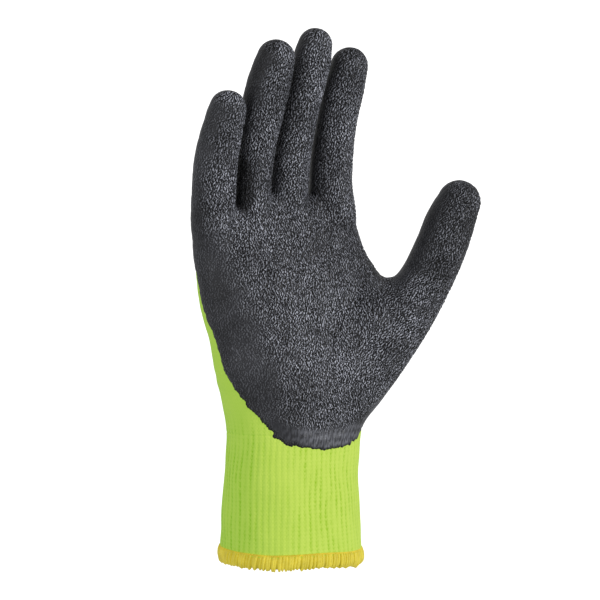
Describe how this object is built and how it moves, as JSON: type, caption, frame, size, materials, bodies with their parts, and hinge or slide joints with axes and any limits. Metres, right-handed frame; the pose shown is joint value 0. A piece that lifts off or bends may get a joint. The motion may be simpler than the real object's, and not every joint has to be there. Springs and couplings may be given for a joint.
{
  "type": "knitted work glove",
  "caption": "Right-hand seamless knit work glove in its worn form, with a crinkled latex coat on palm, fingers and thumb, a ribbed cuff and an overlocked hem.",
  "frame": {"origin": "middle of the cuff's opening, level with the hem's lower edge, where a wrist goes in", "axes": "+Z from the cuff up to the fingertips, -Y out of the palm, +X towards the thumb"},
  "size_m": [0.1452, 0.0776, 0.2603],
  "materials": {
    "knit": "yellow-green brushed acrylic knit",
    "latex": "crinkled natural latex, half matt",
    "hem_thread": "yellow overlock thread"
  },
  "bodies": {
    "root": {"hand_body": "knit", "little_stall": "knit", "ring_stall": "knit", "middle_stall": "knit", "index_stall": "knit", "thumb_stall": "knit", "rib_cuff": "knit", "overlock_hem": "hem_thread", "latex_coat": "latex"}
  },
  "joints": []
}
